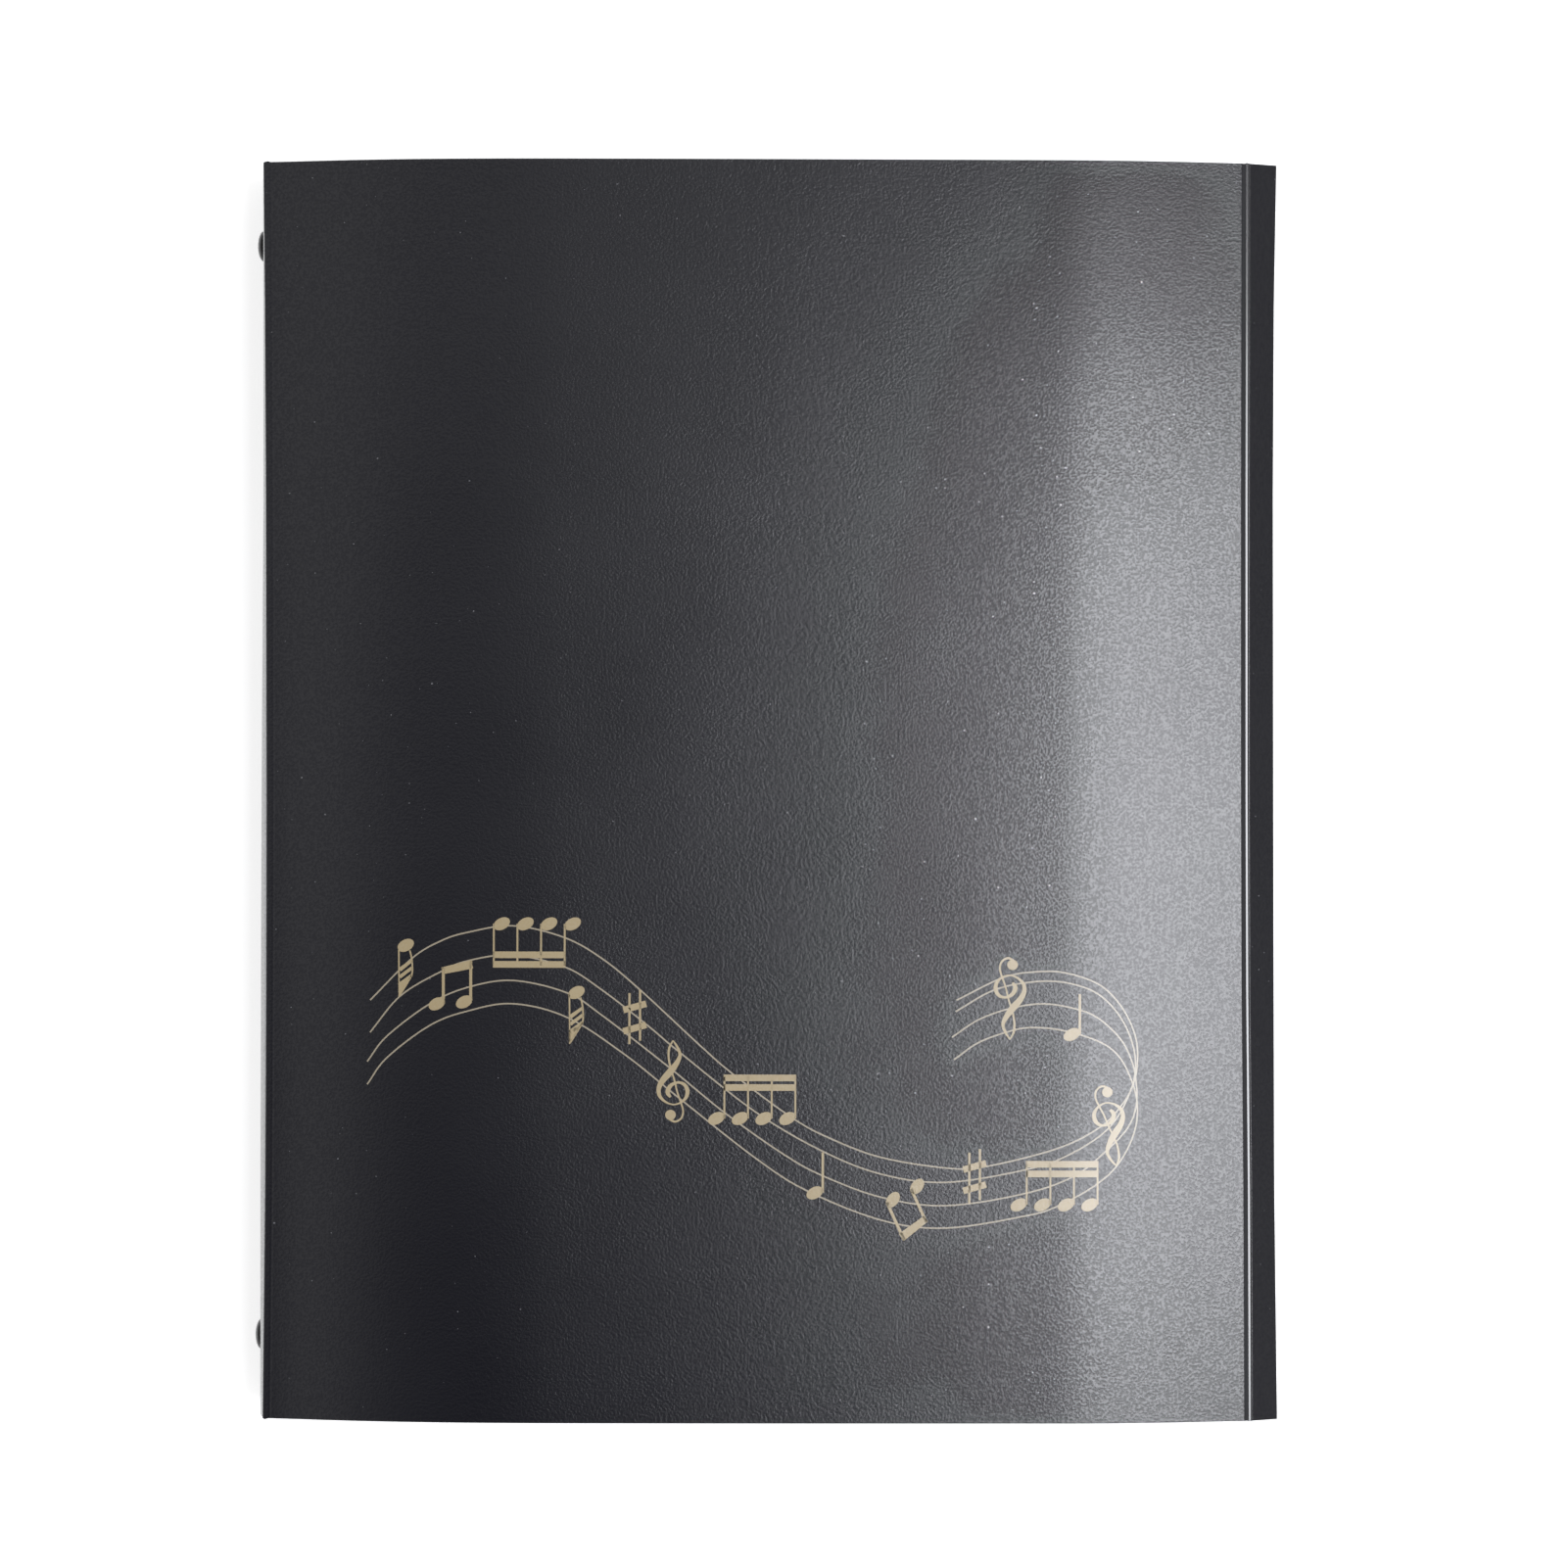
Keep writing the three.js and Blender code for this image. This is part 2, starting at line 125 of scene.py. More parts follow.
class Tree:
    """Adds nodes to the node tree of a material or of the world."""

    def __init__(self, owner):
        owner.use_nodes = True
        self.nodes = owner.node_tree.nodes
        self.links = owner.node_tree.links

    def node(self, kind, settings=None, inputs=None, output=0):
        made = self.nodes.new("ShaderNode" + kind)
        for name, value in (settings or {}).items():
            if name == "stops":
                self.fill_ramp(made.color_ramp, value)
            else:
                setattr(made, name, value)
        for name, value in (inputs or {}).items():
            self.connect(made.inputs[name], value)
        return Wire(self, made.outputs[output])

    def mix(self, share, low, high):
        """A colour between low and high."""
        inputs = {"Factor": share, 6: low, 7: high}
        return self.node("Mix", {"data_type": "RGBA"}, inputs, 2)

    def fill_ramp(self, ramp, stops):
        while len(ramp.elements) < len(stops):
            ramp.elements.new(1)
        for element, (position, colour) in zip(ramp.elements, stops):
            element.position = position
            element.color = (*colour, 1)

    def connect(self, socket, value):
        if isinstance(value, Wire):
            self.links.new(value.socket, socket)
        elif isinstance(value, tuple) and len(value) == 3 and socket.type == "RGBA":
            socket.default_value = (*value, 1)
        else:
            socket.default_value = value


class Finish(Tree):
    """A material whose surface is one Principled shader."""

    def __init__(self, name, **constants):
        self.material = bpy.data.materials.new(name)
        super().__init__(self.material)
        self.surface = self.nodes["Principled BSDF"]
        self.place = self.node("TexCoord", output="Object")
        for socket, value in constants.items():
            self.set(socket.replace("_", " ").title().replace("Ior", "IOR"), value)

    def set(self, socket, value):
        self.connect(self.surface.inputs[socket], value)

    def noise(self, size, detail=2):
        """Noise whose lumps are about this size, between 0 and 1."""
        return self.node("TexNoise", {}, {"Vector": self.place, "Scale": 1 / size, "Detail": detail})

    def bump(self, height, distance, normal=None):
        inputs = {"Height": height, "Distance": distance, "Strength": 1.0}
        if normal is not None:
            inputs["Normal"] = normal
        return self.node("Bump", {}, inputs)


SHEET_BLACK = (0.0045, 0.0045, 0.0075)
SHEET_GREY = (0.0065, 0.0065, 0.0098)
SHEET_SHEEN = 0.42
SHEET_ROUGHNESS = 0.235
CLOUD_SIZE = 45 * MM
CLOUD_DULLING = 0.06
WAVE_SIZE = 60 * MM
WAVE_HEIGHT = 0.25 * MM
# The tops of the grain are a little smoother than the sheet and glint.
GRAIN_SIZE = 0.65 * MM
GRAIN_HEIGHT = 0.013 * MM
GRAIN_TOPS = (0.36, 0.64)
GRAIN_GLINT = 0.3
GRAIN_POLISH = 0.03
GLINT_ROUGHNESS = 0.18
PRESSED_ROUGHNESS = 0.15
PRESSED_GLINT = 0.9
LINT_GREY = (0.12, 0.12, 0.13)
LINT_SIZE = 0.7 * MM
LINT_SPECKS = (0.87, 0.89)


def black_sheet():
    finish = Finish("black_sheet", specular_ior_level=SHEET_SHEEN, coat_roughness=GLINT_ROUGHNESS)
    pressed = finish.node("Attribute", {"attribute_name": "pressed"}, output="Fac")
    grain = finish.noise(GRAIN_SIZE).step(*GRAIN_TOPS) * (1 - pressed)
    cloud = finish.noise(CLOUD_SIZE, 3)
    lint = finish.noise(LINT_SIZE, 0).step(*LINT_SPECKS) * (1 - pressed)
    plain = finish.mix(cloud, SHEET_BLACK, SHEET_GREY)
    finish.set("Base Color", finish.mix(lint, plain, LINT_GREY))
    rough = SHEET_ROUGHNESS - GRAIN_POLISH * grain + CLOUD_DULLING * (cloud - 0.5)
    finish.set("Roughness", rough + pressed * (PRESSED_ROUGHNESS - SHEET_ROUGHNESS))
    finish.set("Coat Weight", grain * GRAIN_GLINT + pressed * PRESSED_GLINT)
    waves = finish.bump(finish.noise(WAVE_SIZE, 1), WAVE_HEIGHT)
    finish.set("Normal", finish.bump(grain, GRAIN_HEIGHT, waves))
    return finish.material


SHEET_FINISH = black_sheet()


# Front cover
# One panel of the sheet. It springs up from the spine, turns down again to a crease pressed along
# the fore-edge, and ends in a lip bent down beyond it. The crease runs a little askew at the tail.

CREST_HEIGHT = 8.6 * MM
CREST_FROM_SPINE = 73 * MM
RISE_ANGLE = math.radians(7)
RISE_REACH = 13 * MM
CREST_REACH = 48 * MM
SHOULDER_HEIGHT = 7.3 * MM
SHOULDER_FROM_CREASE = 46 * MM
SHOULDER_ANGLE = math.radians(1)
SHOULDER_REACH = 14 * MM
FALL_HEIGHT = 1.4 * MM
FALL_ANGLE = math.radians(11)
FALL_REACH = 22 * MM
LIP_WIDTH = 8 * MM
LIP_ANGLE = math.radians(28)
CUT_EDGE = 0.1 * MM
HINGE_EDGE = np.array([0.0, 0.3, 0.6]) * MM
SPINE_CREASE_FROM_EDGE = 1.4 * MM
SPINE_CREASE_WIDTH = 1 * MM
SPINE_CREASE_DEPTH = 0.03 * MM
SPINE_CREASE = SPINE_CREASE_FROM_EDGE + np.linspace(-0.6, 0.6, 11) * SPINE_CREASE_WIDTH
PLAIN_FROM_CREASE = 3 * MM
SHARP_ANGLE = 35
# Depth of the pressed fore-edge crease across it, both in millimetres: a long steep side,
# a bright floor and a short far side.
FORE_CREASE = [(-1.42, 0), (-1.3, 0.025), (-0.2, 0.425), (-0.12, 0.44), (0, 0.43), (0.24, 0.34),
               (0.3, 0.305), (0.47, 0.05), (0.56, 0)]
FORE_CREASE_POINTS = np.linspace(-2.2, 1.6, 77) * MM
# Courses of the crease, the lip's cut edge and the hinge edge: how far each one lies off
# its straight line towards the fore-edge, in millimetres, from the tail to the head.
CREASE_COURSE = [(-155, 1.65), (-97, 1.3), (-48, 0.75), (0, 0.5), (72, 0.33), (155, 0.3)]
LIP_COURSE = [(-155, 1.6), (-142, 1.4), (-97, 0.75), (-48, 0.5), (0, 0.29), (73, 0.03), (121, 0.18),
              (155, 0.75)]
HINGE_COURSE = [(-155, -0.15), (-97, 0.34), (-48, 0.48), (0, 0.46), (73, 0.17), (121, -0.2), (155, -0.6)]
HINGE_COURSE_REACH = 20 * MM
# The rule squeezes a nib of plastic out of each end of a crease.
NIB = 0.22 * MM
FULLY_PRESSED = 0.1 * MM
FORE_NIB_PLACE = 0.1 * MM
FORE_NIB_WIDTH = 0.35 * MM
HINGE_NIB_WIDTH = 0.5 * MM

front_low, front_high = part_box("front_cover")
crease_x = front_high.x - LIP_WIDTH * math.cos(LIP_ANGLE) - SHEET / 2 * math.sin(LIP_ANGLE)


def eased_curve(start, start_angle, start_reach, end, end_angle, end_reach, count=160):
    """Points of a curve held to a direction over a reach at each of its ends."""
    handles = [
        start,
        start + Vector((start_reach, start_reach * math.tan(start_angle))),
        end - Vector((end_reach, end_reach * math.tan(end_angle))),
        end,
    ]
    t = np.linspace(0, 1, count)[:, None]
    weights = ((1 - t) ** 3, 3 * (1 - t) ** 2 * t, 3 * (1 - t) * t ** 2, t ** 3)
    return sum(w * np.array(h) for w, h in zip(weights, handles))


def bow_line():
    """Middle line of the cover from the hinge over the crest and the shoulder to the crease."""
    start = Vector((front_hinge.x, front_hinge.z))
    crest = start + Vector((CREST_FROM_SPINE, CREST_HEIGHT))
    shoulder = Vector((crease_x - SHOULDER_FROM_CREASE, start.y + SHOULDER_HEIGHT))
    crease = Vector((crease_x, start.y + FALL_HEIGHT))
    level = (shoulder.x - crest.x) / 3
    return np.vstack([
        eased_curve(start, RISE_ANGLE, RISE_REACH, crest, 0, CREST_REACH),
        eased_curve(crest, 0, level, shoulder, -SHOULDER_ANGLE, level)[1:],
        eased_curve(shoulder, -SHOULDER_ANGLE, SHOULDER_REACH, crease, -FALL_ANGLE, FALL_REACH)[1:],
    ])


BOW = bow_line()


def middle_height(x, crease=crease_x):
    """Height of the cover's middle surface, with its fore-edge crease at this place."""
    on_bow = np.interp(x, BOW[:, 0], BOW[:, 1])
    past = np.maximum(np.minimum(x, crease) - crease_x, 0)
    fall = on_bow - past * math.tan(FALL_ANGLE)
    at_crease = np.interp(crease, BOW[:, 0], BOW[:, 1]) - max(crease - crease_x, 0) * math.tan(FALL_ANGLE)
    return np.where(x > crease, at_crease - (x - crease) * math.tan(LIP_ANGLE), fall)


def off_line(course, y):
    """How far a course lies off its straight line at y."""
    places, shifts = np.array(course).T * MM
    return np.interp(y, places, shifts)


def across(line, thickness_above, thickness_below):
    """Upper and lower points of a sheet round its middle line, in X and Z."""
    way = np.gradient(line, axis=0)
    way /= np.linalg.norm(way, axis=1)[:, None]
    normal = np.stack([-way[:, 1], way[:, 0]], axis=1)
    return line + normal * thickness_above[:, None], line - normal * thickness_below[:, None]


def bead(hinge, radius):
    """Half-round hinge edge of a sheet, from its outermost point to its upper and lower faces."""
    angles = np.radians(np.linspace(172, 100, 7))
    upper = np.stack([hinge.x + radius * np.cos(angles), hinge.z + radius * np.sin(angles)], axis=1)
    lower = np.stack([hinge.x + radius * np.cos(angles), hinge.z - radius * np.sin(angles)], axis=1)
    return upper, lower


def groove(distance, width, depth):
    """Depth of a smooth groove at a distance from its middle."""
    return np.where(abs(distance) < width / 2, depth * (1 + np.cos(2 * np.pi * distance / width)) / 2, 0)


def row_places(length, spacing, inset):
    """Places along Y, with how far the cut edge is eased back at each."""
    count = max(2, round(length / spacing))
    inner = np.linspace(-length / 2 + inset, length / 2 - inset, count)
    places = np.concatenate([[-length / 2], inner, [length / 2]])
    eased = np.zeros(len(places))
    eased[[0, -1]] = inset
    return list(zip(places, eased))


def mesh_piece(name, points, faces, material=None, sharp=SHARP_ANGLE):
    """Mesh object whose edges are sharp above an angle in degrees."""
    mesh = bpy.data.meshes.new(name)
    mesh.from_pydata([tuple(p) for p in points], [], [tuple(int(i) for i in f) for f in faces])
    work = bmesh.new()
    work.from_mesh(mesh)
    bmesh.ops.recalc_face_normals(work, faces=work.faces)
    work.to_mesh(mesh)
    work.free()
    mesh.shade_smooth()
    mesh.set_sharp_from_angle(angle=math.radians(sharp))
    mesh.materials.append(material)
    piece = bpy.data.objects.new(name, mesh)
    bpy.context.scene.collection.objects.link(piece)
    return piece


def sheet_piece(name, sections, material):
    """Closed strip of sheet. Each section across it is a row of upper points and a row of lower points."""
    upper, lower = (np.array(side) for side in zip(*sections))
    rows, count = upper.shape[:2]
    points = np.concatenate([upper.reshape(-1, 3), lower.reshape(-1, 3)])
    up = np.arange(rows * count).reshape(rows, count)
    down = up + rows * count
    faces = []
    for side in (up, down):
        corners = [side[:-1, :-1], side[1:, :-1], side[1:, 1:], side[:-1, 1:]]
        faces += list(np.stack(corners, -1).reshape(-1, 4))
    for edge in (0, -1):
        faces += list(np.stack([up[:-1, edge], up[1:, edge], down[1:, edge], down[:-1, edge]], -1))
    for end in (0, -1):
        faces += list(np.stack([up[end, :-1], up[end, 1:], down[end, 1:], down[end, :-1]], -1))
    return mesh_piece(name, points, faces, material)


def point_values(piece, name, values):
    """Stores a number at each point of a mesh, which its material reads by name."""
    attribute = piece.data.attributes.new(name, "FLOAT", "POINT")
    attribute.data.foreach_set("value", np.asarray(values, np.float32).ravel())


def section_rows(y, *sides):
    """Points at y of the sides of a section, which are given in X and Z."""
    return [np.stack([side[:, 0], np.broadcast_to(y, len(side)), side[:, 1]], axis=1) for side in sides]


def front_cover_section(y, eased):
    """Upper and lower points of the cover at y, and how far it is pressed at each upper point."""
    crease = crease_x + off_line(CREASE_COURSE, y)
    end = front_high.x - SHEET / 2 * math.sin(LIP_ANGLE) + off_line(LIP_COURSE, y) - eased
    drawn_in = Vector((off_line(HINGE_COURSE, y), 0, 0))
    half = SHEET / 2 - eased
    x = np.concatenate([
        front_hinge.x + HINGE_EDGE,
        front_hinge.x + SPINE_CREASE,
        np.linspace(front_hinge.x + PLAIN_FROM_CREASE, crease - PLAIN_FROM_CREASE, 96),
        crease + FORE_CREASE_POINTS,
        np.linspace(crease + PLAIN_FROM_CREASE, end - CUT_EDGE, 4),
        [end],
    ])
    fore = np.array(FORE_CREASE) * MM
    pressed = np.interp(x - crease, fore[:, 0], fore[:, 1])
    hinge_line = groove(x - front_hinge.x - SPINE_CREASE_FROM_EDGE, SPINE_CREASE_WIDTH, SPINE_CREASE_DEPTH)
    shifted = x + drawn_in.x * np.exp((front_hinge.x - x) / HINGE_COURSE_REACH)
    line = np.stack([shifted, middle_height(x, crease)], axis=1)
    above = half - pressed - hinge_line
    below = np.full(len(x), half)
    above[-1] -= CUT_EDGE
    below[-1] -= CUT_EDGE
    upper, lower = across(line, above, below)
    bead_upper, bead_lower = bead(front_hinge + drawn_in, half)
    upper = np.vstack([bead_upper, upper])
    lower = np.vstack([bead_lower, lower])
    nib = NIB * np.exp(-((upper[:, 0] - crease - FORE_NIB_PLACE) / FORE_NIB_WIDTH) ** 2)
    nib += NIB * np.exp(-((upper[:, 0] - front_hinge.x) / HINGE_NIB_WIDTH) ** 2)
    reach = y + np.sign(y) * nib * (abs(y) > cover_height / 2 - 2 * CUT_EDGE)
    share = np.concatenate([np.zeros(len(bead_upper)), np.clip(pressed / FULLY_PRESSED, 0, 1)])
    return section_rows(reach, upper, lower), share


def front_cover():
    places = row_places(cover_height, 5 * MM, CUT_EDGE)
    sections, shares = zip(*[front_cover_section(y, eased) for y, eased in places])
    piece = sheet_piece("front_cover_sheet", sections, SHEET_FINISH)
    point_values(piece, "pressed", [shares, np.zeros_like(shares)])
    return piece


cover = front_cover()
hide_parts("front_cover")
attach(cover, "front_cover")


# Back cover
# The same sheet, cut flat, with a line pressed into its outer face beside the spine.

LINE_PRESSED = 0.05 * MM


def back_cover_section(y, eased):
    """Upper and lower points of the cover at y, and how far it is pressed at each lower point."""
    half = SHEET / 2 - eased
    fore_edge = sheet_high.x - eased
    x = np.concatenate([
        back_hinge.x + HINGE_EDGE,
        back_hinge.x + SPINE_CREASE,
        np.linspace(back_hinge.x + PLAIN_FROM_CREASE, fore_edge - CUT_EDGE, 12),
        [fore_edge],
    ])
    line = np.stack([x, np.full(len(x), back_hinge.z)], axis=1)
    hinge_line = groove(x - back_hinge.x - SPINE_CREASE_FROM_EDGE, SPINE_CREASE_WIDTH, SPINE_CREASE_DEPTH)
    above = np.full(len(x), half)
    below = half - hinge_line
    above[-1] -= CUT_EDGE
    below[-1] -= CUT_EDGE
    upper, lower = across(line, above, below)
    bead_upper, bead_lower = bead(back_hinge, half)
    share = np.concatenate([np.zeros(len(bead_lower)), hinge_line / LINE_PRESSED])
    return section_rows(y, np.vstack([bead_upper, upper]), np.vstack([bead_lower, lower])), share


def back_cover():
    places = row_places(cover_height, 20 * MM, CUT_EDGE)
    sections, shares = zip(*[back_cover_section(y, eased) for y, eased in places])
    piece = sheet_piece("back_cover_sheet", sections, SHEET_FINISH)
    point_values(piece, "pressed", [np.zeros_like(shares), shares])
    return piece


back = back_cover()
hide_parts("back_cover")
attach(back, "back_cover")


# Spine
# The strip of sheet between the two hinge lines, bowed outwards, with a punched hole for each rivet.
# A thin web of the same sheet joins it to each cover.

spine_low, spine_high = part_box("spine")
SPINE_BULGE = 1.8 * MM
HINGE_GAP = 0.3 * MM
spine_middle = (spine_low.z + spine_high.z) / 2
spine_half = (front_hinge.z - back_hinge.z - SHEET) / 2 - HINGE_GAP
bulge_radius = (spine_half ** 2 + SPINE_BULGE ** 2) / (2 * SPINE_BULGE)
RIVET_HOLE_RADIUS = 2.1 * MM
DRILL_LENGTH = 12 * MM
# The bow of the spine stands out further along its lower half, in millimetres.
SPINE_COURSE = [(-155, 0.3), (-97, 0.5), (-30, 0.5), (20, 0.35), (73, 0), (155, 0)]
WEB_THICKNESS = 0.4 * MM
WEB_ROOT = 0.25 * MM
WEB_IN_BEAD = 0.1 * MM


def bulge_at(v):
    """How far the spine stands out at v from its middle."""
    return np.sqrt(bulge_radius ** 2 - v ** 2) - (bulge_radius - SPINE_BULGE)


def tube_faces(rings, count):
    """Faces of a bar through rings of points, closed at both ends."""
    faces = []
    for start in range(0, (rings - 1) * count, count):
        for k in range(count):
            after = (k + 1) % count
            faces.append((start + k, start + after, start + count + after, start + count + k))
    last = (rings - 1) * count
    return faces + [tuple(range(count)), tuple(range(last, last + count))]


def drill(length, x, y, segments=48):
    """Round bar along X that cuts a rivet hole."""
    angles = np.linspace(0, 2 * np.pi, segments, endpoint=False)
    ring = RIVET_HOLE_RADIUS * np.stack([np.zeros(segments), np.cos(angles), np.sin(angles)], axis=1)
    points = np.concatenate([ring - [length / 2, 0, 0], ring + [length / 2, 0, 0]])
    bar = mesh_piece("drill", points, tube_faces(2, segments))
    bar.data.transform(Matrix.Translation((x, y, spine_middle)))
    return bar


def carve(piece, cutter, operation="DIFFERENCE"):
    """Cuts one closed mesh with another, which is then gone."""
    modifier = piece.modifiers.new("carve", "BOOLEAN")
    modifier.operation = operation
    modifier.solver = "EXACT"
    modifier.object = cutter
    graph = bpy.context.evaluated_depsgraph_get()
    carved = bpy.data.meshes.new_from_object(piece.evaluated_get(graph))
    piece.modifiers.clear()
    piece.data = carved
    bpy.data.objects.remove(cutter)


def middle_y(node):
    low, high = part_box(node)
    return (low.y + high.y) / 2


rivet_places = [middle_y("rivet_top"), middle_y("rivet_bottom")]


def spine():
    """Bowed panel, in sections across it from the back hinge to the front one."""
    v = spine_half * np.linspace(-1, 1, 41)
    share = v / spine_half
    sections = []
    for y, eased in row_places(cover_height, 10 * MM, CUT_EDGE):
        x = front_hinge.x - bulge_at(v) - off_line(SPINE_COURSE, y) * (1 - share ** 2)
        x += off_line(HINGE_COURSE, y) * ((1 + share) / 2) ** 4
        line = np.stack([x, spine_middle + v], axis=1)
        half = np.full(len(v), SHEET / 2 - eased)
        half[[0, -1]] -= CUT_EDGE
        sections.append(section_rows(y, *across(line, half, half)))
    panel = sheet_piece("spine_sheet", sections, SHEET_FINISH)
    for y in rivet_places:
        carve(panel, drill(DRILL_LENGTH, front_hinge.x, y))
    panel.data.set_sharp_from_angle(angle=math.radians(SHARP_ANGLE))
    return panel


def hinge_web(name, hinge, spine_edge):
    """Thin web from inside the spine's edge to inside the cover's half-round edge."""
    way = math.copysign(1, hinge.z - spine_edge)
    z = np.linspace(spine_edge - way * WEB_ROOT, hinge.z - way * WEB_IN_BEAD, 12)
    sections = []
    for y in np.linspace(-cover_height / 2 + CUT_EDGE, cover_height / 2 - CUT_EDGE, 40):
        x = hinge.x + (off_line(HINGE_COURSE, y) if hinge == front_hinge else 0)
        faces_x = (x + WEB_THICKNESS / 2, x - WEB_THICKNESS / 2)
        sides = [np.stack([np.full(len(z), face_x), z], axis=1) for face_x in faces_x]
        sections.append(section_rows(y, *sides))
    return sheet_piece(name, sections, SHEET_FINISH)


spine_panel = spine()
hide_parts("spine")
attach(spine_panel, "spine")

for web_name, web_hinge, web_edge, web_cover in (
    ("front_hinge_web", front_hinge, spine_middle + spine_half, "front_cover"),
    ("back_hinge_web", back_hinge, spine_middle - spine_half, "back_cover"),
):
    web = hinge_web(web_name, web_hinge, web_edge)
    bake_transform(web)


# Ring plate and blades
# Steel strip, rolled into an arch with its edges curled in, pierced for the ring wires and the rivets,
# then nickel plated. Two flat steel blades rock inside it and carry the rings.

# Here and on the rings, v is the distance from the spine's middle and u the height over its inner face.
PLATE_THICKNESS = 0.9 * MM
PLATE_CROWN = 5.4 * MM
PLATE_FLAT = 6.4 * MM
PLATE_HEM = 1.6 * MM
PLATE_END_RADIUS = 4 * MM
WIRE = 2.8 * MM
LEG_OFFSET = 4.6 * MM
SLOT_CLEARANCE = 0.3 * MM
# Just under half the slot's width, so that its two round ends stay apart.
SLOT_ROUNDING = 0.999
PLATE_HEM_RADIUS = 0.45 * MM
SHOULDER_SHARE = 0.7
# Close rows beside each slot and rivet keep the plate's surface smooth there.
CLOSE_ROW = 3.4 * MM
CUT_THROUGH = 30 * MM
PUNCH_LENGTH = 20 * MM
NICKEL = (0.62, 0.61, 0.585)
NICKEL_SHADE = (0.52, 0.515, 0.5)
NICKEL_ROUGHNESS = 0.13
HAZE_SIZE = 7 * MM
HAZE_DULLING = 0.16
RIPPLE_SIZE = 1.2 * MM
RIPPLE_HEIGHT = 0.006 * MM


def nickel_plate():
    finish = Finish("nickel_plate", metallic=1.0)
    haze = finish.noise(HAZE_SIZE, 4)
    finish.set("Base Color", finish.mix(haze, NICKEL, NICKEL_SHADE))
    finish.set("Roughness", NICKEL_ROUGHNESS + HAZE_DULLING * haze.step(0.35, 0.75))
    finish.set("Normal", finish.bump(finish.noise(RIPPLE_SIZE, 3), RIPPLE_HEIGHT))
    return finish.material


NICKEL_FINISH = nickel_plate()

plate_low, plate_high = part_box("ring_plate")
seat_x = plate_low.x
plate_half = (plate_high.z - plate_low.z) / 2
plate_length = plate_high.y - plate_low.y
ring_places = [middle_y(f"back_ring_{number}") for number in range(1, 5)]


def arch_line():
    """Middle line of the plate in v and u, from one curled edge over the crown to the other."""
    edge = plate_half - PLATE_THICKNESS / 2
    top = PLATE_CROWN - PLATE_THICKNESS / 2
    flat = PLATE_FLAT / 2
    drop = (edge - flat) * SHOULDER_SHARE
    angles = np.linspace(0, np.pi / 2, 13)
    shoulder = np.stack([flat + (edge - flat) * np.cos(angles), top - drop + drop * np.sin(angles)], axis=1)
    curl = PLATE_HEM_RADIUS + PLATE_THICKNESS / 2
    turn = np.linspace(-np.pi / 2, 0, 6)
    bend_v = edge - curl + curl * np.cos(turn)
    bend_u = PLATE_THICKNESS / 2 + curl + curl * np.sin(turn)
    hem_bend = np.stack([bend_v, bend_u], axis=1)
    hem = np.array([[plate_half - PLATE_HEM, PLATE_THICKNESS / 2]])
    half = np.vstack([hem, hem_bend, shoulder])
    mirrored = half[::-1] * [-1, 1]
    return np.vstack([half, mirrored])


def rounded_block(length, width, radius, depth):
    """Block with round corners in Y and Z, along X about the origin."""
    outline = []
    for quarter, (side_y, side_z) in enumerate(((1, 1), (-1, 1), (-1, -1), (1, -1))):
        for angle in np.linspace(0, np.pi / 2, 10) + quarter * np.pi / 2:
            y = side_y * (length / 2 - radius) + radius * np.cos(angle)
            z = side_z * (width / 2 - radius) + radius * np.sin(angle)
            outline.append((y, z))
    points = [(x, y, z) for x in (-depth / 2, depth / 2) for y, z in outline]
    return mesh_piece("block", points, tube_faces(2, len(outline)))


def ring_plate():
    """Arched strip with round corners, slots for the wires and holes for the rivets."""
    line = arch_line()
    marks = [y + way * CLOSE_ROW for y in (*ring_places, *rivet_places) for way in (-1, 1)]
    places = np.unique(np.concatenate([np.linspace(-plate_length / 2, plate_length / 2, 30), marks]))
    half = np.full(len(line), PLATE_THICKNESS / 2)
    sides = [side[:, ::-1] + (seat_x, spine_middle) for side in across(line, half, half)]
    plate = sheet_piece("ring_plate_steel", [section_rows(y, *sides) for y in places], NICKEL_FINISH)
    block = rounded_block(plate_length, 2 * plate_half, PLATE_END_RADIUS, CUT_THROUGH)
    block.data.transform(Matrix.Translation((seat_x, 0, spine_middle)))
    carve(plate, block, "INTERSECT")
    reach = WIRE / 2 + SLOT_CLEARANCE
    slot_end = plate_half - PLATE_THICKNESS - SLOT_CLEARANCE
    slot_start = LEG_OFFSET - reach
    for y in ring_places:
        for side in (1, -1):
            punch = rounded_block(2 * reach, slot_end - slot_start, reach * SLOT_ROUNDING, PUNCH_LENGTH)
            middle = spine_middle + side * (slot_start + slot_end) / 2
            above_hem = seat_x + 2 * PLATE_THICKNESS + PUNCH_LENGTH / 2
            punch.data.transform(Matrix.Translation((above_hem, y, middle)))
            carve(plate, punch)
    for y in rivet_places:
        carve(plate, drill(CUT_THROUGH, seat_x, y))
    plate.data.set_sharp_from_angle(angle=math.radians(SHARP_ANGLE))
    return plate


plate = ring_plate()
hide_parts("ring_plate")
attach(plate, "spine")

for blade_name in ("back_blade", "front_blade"):
    blade = frame["nodes"][blade_name]
    blade.data.materials.clear()
    blade.data.materials.append(NICKEL_FINISH)


# Rings
# Round steel wire, nickel plated, bent to half circles and riveted into the blades.
# One half of each ring ends in a point and the other in a notch that it seats in.

